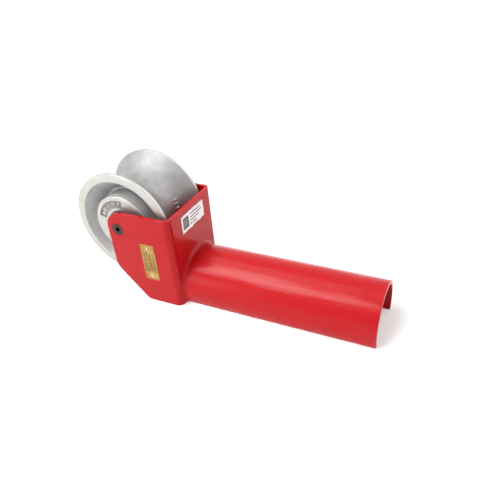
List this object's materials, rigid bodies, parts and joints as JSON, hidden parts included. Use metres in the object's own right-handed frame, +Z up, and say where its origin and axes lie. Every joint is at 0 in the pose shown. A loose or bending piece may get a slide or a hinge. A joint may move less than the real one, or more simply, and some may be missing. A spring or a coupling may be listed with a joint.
{
  "type": "cable duct entry guide",
  "caption": "Cable duct entry guide: a grooved cast sheave in a bent plate yoke, with a tubular spigot, open along its underside, that slides into the mouth of a cable duct.",
  "frame": {"origin": "on the spigot's axis, at the outer face of the yoke's back plate", "axes": "+X along the spigot into the duct, -Y towards the side plate with the nameplate, +Z up with the object lying on the spigot's cut edges"},
  "size_m": [0.469, 0.1248, 0.2035],
  "materials": {
    "red_enamel": "gloss enamel over steel",
    "cast_aluminium": "sand cast, machined rims",
    "ground_steel": "ground",
    "zinc_steel": "zinc plated",
    "blackened_steel": "black oxide",
    "bearing_steel": "polished",
    "cage_brass": "machined",
    "shield_steel": "pressed sheet",
    "spring_steel": "phosphated",
    "etched_brass": "etched and filled",
    "rivet_steel": "plated",
    "label_paper": "printed paper with a clear film"
  },
  "bodies": {
    "frame": {"yoke_bracket": "red_enamel", "duct_spigot": "red_enamel", "spigot_weld": "red_enamel", "axle_shaft": "ground_steel", "axle_screws": "blackened_steel", "inner_race_near": "bearing_steel", "inner_race_far": "bearing_steel", "bearing_spacer": "ground_steel", "side_spacer_near": "zinc_steel", "side_spacer_far": "zinc_steel", "nameplate": "etched_brass", "nameplate_rivets": "rivet_steel", "paper_label": "label_paper"},
    "sheave": {"sheave": "cast_aluminium", "outer_race_near": "bearing_steel", "outer_race_far": "bearing_steel", "dust_shield_near": "shield_steel", "dust_shield_far": "shield_steel", "circlips": "spring_steel"},
    "cage_near": {"bearing_rollers_near": "bearing_steel", "roller_cage_near": "cage_brass"},
    "cage_far": {"bearing_rollers_far": "bearing_steel", "roller_cage_far": "cage_brass"}
  },
  "joints": [
    {"name": "sheave_spin", "type": "hinge", "parent": "frame", "child": "sheave", "pos_m": [-0.092, 0, 0.1005], "axis": [0, 1, 0], "continuous": true},
    {"name": "cage_near_spin", "type": "hinge", "parent": "frame", "child": "cage_near", "pos_m": [-0.092, 0, 0.1005], "axis": [0, 1, 0], "continuous": true},
    {"name": "cage_far_spin", "type": "hinge", "parent": "frame", "child": "cage_far", "pos_m": [-0.092, 0, 0.1005], "axis": [0, 1, 0], "continuous": true}
  ],
  "couplings": [
    {"joint": "cage_near_spin", "follows": "sheave_spin", "ratio": 0.6176},
    {"joint": "cage_far_spin", "follows": "sheave_spin", "ratio": 0.6176}
  ]
}
